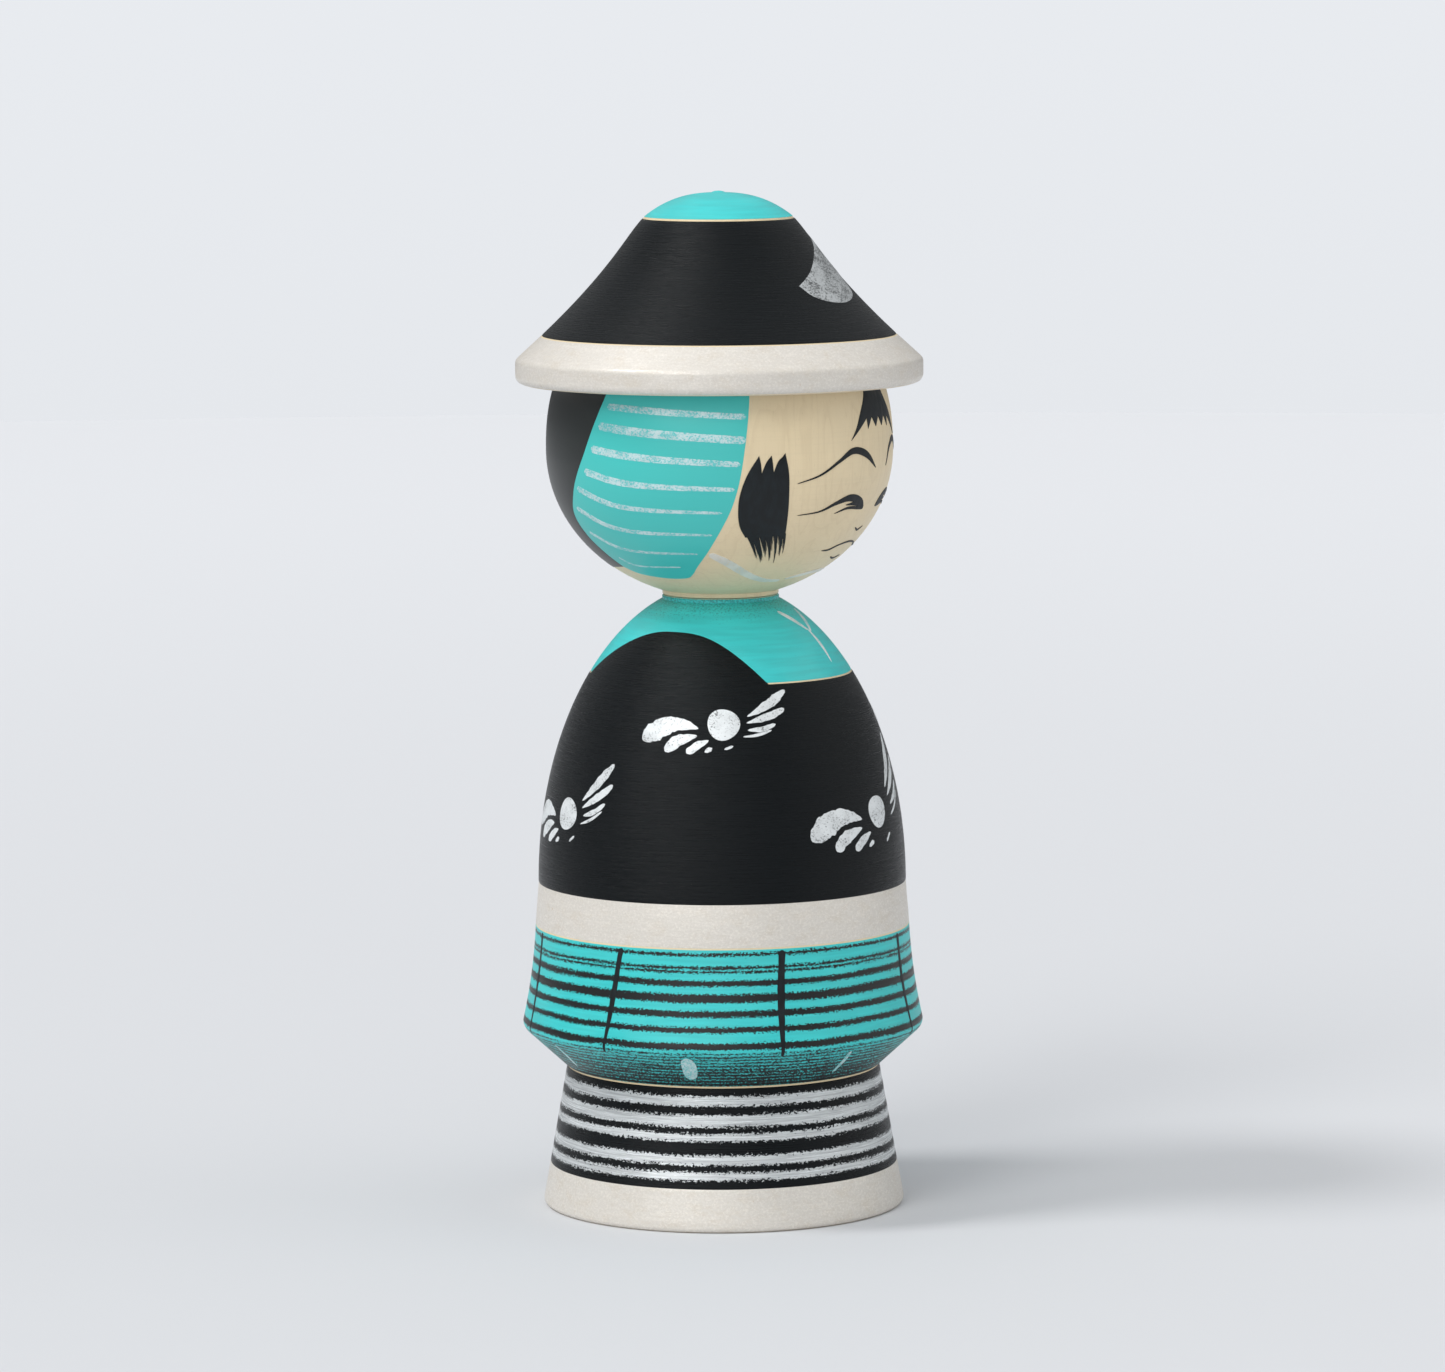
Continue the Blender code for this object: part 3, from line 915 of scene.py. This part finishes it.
def paint_head(silver_on_blue, silver_on_wood, brush_ink, turquoise, black):
    cloths = Film("cheek_cloths", HEAD, turquoise, "turquoise_paint", COAT)
    near = joined(CLOTH_BACK, CLOTH_FOOT[::-1], CLOTH_FRONT[::-1], [CLOTH_FRONT[0], CLOTH_BACK[0]])
    cloths.fill(near)
    cloths.fill(other_side(near))
    cloths.finish()

    hair = Film("back_hair", HEAD, black, "black_paint", COAT + 0.02, 1.0)
    far_edge = [(azimuth - 360, height) for azimuth, height in other_side(CLOTH_BACK)]
    nape = [far_edge[0], *NAPE, CLOTH_BACK[-1]]
    hair.fill(joined(far_edge[::-1], nape, CLOTH_BACK[::-1], [CLOTH_BACK[0], far_edge[-1]]))
    hair.finish()

    stripes = Film("cloth_stripes", HEAD, silver_on_blue, "silver_paint")
    for start, high, bend, end, low, first, last in CLOTH_STRIPES:
        middle = (start + end) / 2 - 8
        run = [(start, high, first * 0.85), (middle, bend, first * 0.55 + last * 0.45), (end, low, last)]
        stripes.stroke(run)
        stripes.stroke(other_side(run))
    stripes.finish()

    strap = Film("chin_strap", HEAD, silver_on_wood, "silver_paint")
    strap.stroke(CHIN_STRAP)
    strap.stroke(other_side(CHIN_STRAP))
    strap.stroke(CHIN_KNOT + other_side(CHIN_KNOT)[1:])
    strap.finish()

    hair = Film("face_hair", HEAD, brush_ink, "black_paint")
    near = joined(*SIDEBURN)
    hair.fill(near)
    hair.fill(other_side(near))
    left, right = SIDEBURN_FOOT
    for share in shares(SIDEBURN_HAIRS - 1):
        top = left + (right - left) * share
        chance = noise.noise(Vector((share * 83, 7.3, 0)))
        low = HAIR_TIP - HAIR_SPREAD * chance
        tip = top + (HAIR_LEAN - HAIR_GATHER * share) * (103 - low) / 4
        halfway = ((top + tip) / 2, (HAIR_ROOT + low) / 2, 0.17 + 0.2 * chance)
        run = [(top, HAIR_ROOT, 0.3), halfway, (tip, low, 0.04)]
        hair.stroke(run)
        hair.stroke(other_side(run))
    fringe = [[start, end] for start, end in zip(FORELOCK_FRINGE, FORELOCK_FRINGE[1:])]
    fringe += [other_side(run) for run in reversed(fringe)]
    top = [other_side(FORELOCK_SIDE)[-1], FORELOCK_SIDE[0]]
    hair.fill(joined(FORELOCK_SIDE, *fringe, other_side(FORELOCK_SIDE), top))
    hair.finish()

    lines = Film("face_lines", HEAD, brush_ink, "black_paint")
    lines.stroke(BROW, FINE_WAVER)
    lines.stroke(FAR_BROW, FINE_WAVER)
    for run in (UPPER_LID, PUPIL, LOWER_LID):
        lines.stroke(run, FINE_WAVER)
        lines.stroke(other_side(run), FINE_WAVER)
    for half in (NOSE, UPPER_LIP, LOWER_LIP):
        lines.stroke(half + other_side(half)[1:], FINE_WAVER)
    lines.finish()


def on_cape(azimuth, height, points):
    """Turns (right, up, width) points into (azimuth, height, width) ones about a place on the body."""
    out, _ = BODY.normal(height)
    moved = []
    for right, up, width in points:
        level = height + up * out
        moved.append((azimuth + math.degrees(right / BODY.radius(level)), level, width))
    return moved


def turned_leaf(points, angle, size):
    """A leaf of a flower, turned about the flower's centre and grown."""
    turn = Matrix.Rotation(angle, 2) * size
    return [(*(turn @ Vector((right, up))), width * math.sqrt(size)) for right, up, width in points]


def paint_body(silver_on_black, silver_on_blue, cord_paint, brush_ink):
    flowers = Film("cape_flowers", BODY, silver_on_black, "silver_paint", STROKE + 0.03)
    for index, (azimuth, height, steeper, size) in enumerate(FLOWERS):
        ring = []
        for share in shares(30)[1:]:
            turn = 2 * math.pi * share
            reach = FLOWER_CENTRE * (1 + 0.035 * math.sin(3 * turn + index))
            ring.append((reach * math.cos(turn), reach * math.sin(turn), 0))
        flowers.fill(on_cape(azimuth, height, ring))
        petals = [turned_leaf(run, 0, (1 + size) / 2) for run in FLOWER_PETALS]
        leaves = [turned_leaf(run, math.radians(steeper), size) for run in FLOWER_LEAVES]
        for run in petals + leaves:
            flowers.stroke(on_cape(azimuth, height, run), 0.25)
    flowers.finish()

    cord = Film("collar_cord", BODY, cord_paint, "pearl_paint")
    for run in COLLAR_CORD:
        cord.stroke(run)
    cord.finish()

    bars = Film("skirt_bars", BODY, brush_ink, "black_paint")
    for top, bottom, width in SKIRT_BARS:
        bars.stroke([
            (top, BAR_TOP, width * 1.35), (top * 0.8 + bottom * 0.2, BAR_NECK, width * 1.05),
            ((top + bottom) / 2 - 0.3, BAR_MIDDLE, width * 1.2), (bottom, BAR_FOOT, width * 0.5),
        ])
    bars.finish()

    marks = Film("hem_marks", BODY, silver_on_blue, "silver_paint")
    for places, mark in ((HEM_OVALS, HEM_OVAL), (HEM_LINES, HEM_LINE)):
        for azimuth in places:
            marks.stroke([(azimuth + shift, height, width) for shift, height, width in mark])
    marks.finish()


def paint_hat(worn_silver):
    crest = Film("hat_crest", HAT, worn_silver, "silver_paint")
    crest.fill(joined(CREST_UPPER, CREST_LOWER)[::-1])
    crest.finish()


def make_strokes():
    silver_on_black = silver_paint("silver_on_black", BLACK, 0.7)
    silver_on_blue = silver_paint("silver_on_turquoise", TURQUOISE, 0.6, 0.25)
    silver_on_wood = silver_paint("silver_on_wood", WOOD, 0.7, 0.35)
    worn_silver = silver_paint("worn_silver", BLACK, 0.62, 0.38)
    cord_paint = silver_paint("pale_on_turquoise", tinted(TURQUOISE, 1.2), 0.68)
    brush_ink = ink()
    materials = bpy.data.materials
    turquoise, black = materials["turquoise_paint"], materials["black_paint"]
    paint_head(silver_on_blue, silver_on_wood, brush_ink, turquoise, black)
    paint_body(silver_on_black, silver_on_blue, cord_paint, brush_ink)
    paint_hat(worn_silver)


# ---------------------------------------------------------------- floor, light and camera

VIEW_AZIMUTH = -63.0
VIEW_ELEVATION = 6.52
VIEW_DISTANCE = 1039.2
VIEW_TARGET = 78.2
VIEW_RIGHT = 0.21  # how far the middle of the frame lies right of the doll's axis
VIEW_ROLL = -0.333
LENS = 172.6
SENSOR = 36

FLOOR_REACH = 1.6  # metres
FLOOR_SIDES = 96
FLOOR = (0.738, 0.752, 0.781)
FLOOR_SHADE_NEAR = 0.92  # painted shade: how bright the paper is close to the doll, against its far part
FLOOR_PLAIN_FROM, FLOOR_PLAIN_TO = 100, 1300  # distances over which that painted shade fades
SKY = (0.96, 0.98, 1.0)
HORIZON = 0.15
ZENITH = 0.85
BACKDROP = (0.776, 0.798, 0.832)
BACKDROP_LOW = -0.1  # how far below the eye it is at its plain brightness, as a sine
BACKDROP_RISE = 1.05  # how much brighter it is at the height of the eye
# (name, azimuth, elevation, width, strength, colour) of each softbox
SUNS = [
    ("key_light", -94, 36, 26, 0.8, (1.0, 0.985, 0.96)),
    ("high_light", -138, 56, 14, 1.05, (1.0, 0.99, 0.98)),
    ("front_light", -76, 11, 60, 0.6, (1.0, 0.99, 0.98)),
    ("fill_light", 24, 16, 60, 0.4, (1.0, 0.98, 0.94)),
]


def view_axes():
    """Unit vectors to the right of the camera and towards it, both level."""
    angle = math.radians(VIEW_AZIMUTH)
    right = Vector((math.cos(angle), math.sin(angle), 0))
    towards = Vector((math.sin(angle), -math.cos(angle), 0))
    return right, towards


def add_camera():
    right, towards = view_axes()
    rise = math.radians(VIEW_ELEVATION)
    target = (right * VIEW_RIGHT + Vector((0, 0, VIEW_TARGET))) * MM
    back = towards * math.cos(rise) + Vector((0, 0, math.sin(rise)))
    camera = bpy.data.objects.new("camera", bpy.data.cameras.new("camera"))
    camera.data.lens = LENS
    camera.data.sensor_width = SENSOR
    camera.location = target + back * VIEW_DISTANCE * MM
    upright = back.to_track_quat("Z", "Y").to_matrix()
    roll = Matrix.Rotation(math.radians(VIEW_ROLL), 3, "Z")
    camera.rotation_euler = (upright @ roll).to_euler()
    bpy.context.scene.collection.objects.link(camera)
    bpy.context.scene.camera = camera


def add_floor():
    """A round sheet of pale paper, a little darker round the doll as painted shade. Past its edge the
    backdrop goes on.
    """
    mesh = bpy.data.meshes.new("floor")
    turns = [2 * math.pi * share for share in shares(FLOOR_SIDES)[1:]]
    edge = [(FLOOR_REACH * math.cos(turn), FLOOR_REACH * math.sin(turn), 0) for turn in turns]
    mesh.from_pydata(edge, [], [tuple(range(FLOOR_SIDES))])
    shade = Shade("floor_paper", 0.85, 0.1)
    away = shade.add("VectorMath", {0: shade.place}, operation="LENGTH").outputs["Value"]
    painted_shade_fade = shade.between(away, FLOOR_PLAIN_FROM, FLOOR_PLAIN_TO)
    # Painted shade: the paper is darker close to the doll.
    shade.colour(shade.mix(painted_shade_fade, tinted(FLOOR, FLOOR_SHADE_NEAR), FLOOR))
    shade.bump(shade.noise(0.8, 0.8), 0.01)
    mesh.materials.append(shade.material)
    floor = bpy.data.objects.new("floor", mesh)
    bpy.context.scene.collection.objects.link(floor)


def add_world():
    """A pale sky that is brightest overhead. The camera sees an even backdrop in its place."""
    world = bpy.data.worlds.new("studio")
    world.use_nodes = True
    nodes, links = world.node_tree.nodes, world.node_tree.links
    sky = nodes["Background"]
    sky.inputs["Color"].default_value = (*SKY, 1)
    place = nodes.new("ShaderNodeSeparateXYZ")
    links.new(nodes.new("ShaderNodeTexCoord").outputs["Generated"], place.inputs[0])
    rise = nodes.new("ShaderNodeMapRange")
    rise.inputs["To Min"].default_value = HORIZON
    rise.inputs["To Max"].default_value = ZENITH
    links.new(place.outputs["Z"], rise.inputs["Value"])
    links.new(rise.outputs["Result"], sky.inputs["Strength"])
    backdrop = nodes.new("ShaderNodeBackground")
    backdrop.inputs["Color"].default_value = (*BACKDROP, 1)
    glow = nodes.new("ShaderNodeMapRange")
    glow.inputs["From Min"].default_value = BACKDROP_LOW
    glow.inputs["From Max"].default_value = 0.0
    glow.inputs["To Min"].default_value = 1.0
    glow.inputs["To Max"].default_value = BACKDROP_RISE
    links.new(place.outputs["Z"], glow.inputs["Value"])
    links.new(glow.outputs["Result"], backdrop.inputs["Strength"])
    either = nodes.new("ShaderNodeMixShader")
    links.new(nodes.new("ShaderNodeLightPath").outputs["Is Camera Ray"], either.inputs[0])
    links.new(sky.outputs[0], either.inputs[1])
    links.new(backdrop.outputs[0], either.inputs[2])
    links.new(either.outputs[0], nodes["World Output"].inputs["Surface"])
    bpy.context.scene.world = world


def add_sun(name, azimuth, elevation, width, strength, colour):
    """A far softbox, as wide as an angle."""
    sun = bpy.data.lights.new(name, "SUN")
    sun.energy = strength
    sun.angle = math.radians(width)
    sun.color = colour
    turn, rise = math.radians(azimuth), math.radians(elevation)
    way = Vector((math.sin(turn) * math.cos(rise), -math.cos(turn) * math.cos(rise), math.sin(rise)))
    lamp = bpy.data.objects.new(name, sun)
    lamp.rotation_euler = way.to_track_quat("Z", "Y").to_euler()
    bpy.context.scene.collection.objects.link(lamp)


add_camera()
add_floor()
add_world()
for sun in SUNS:
    add_sun(*sun)
bpy.context.scene.view_settings.view_transform = "Standard"
make_wood()
make_coats()
make_strokes()
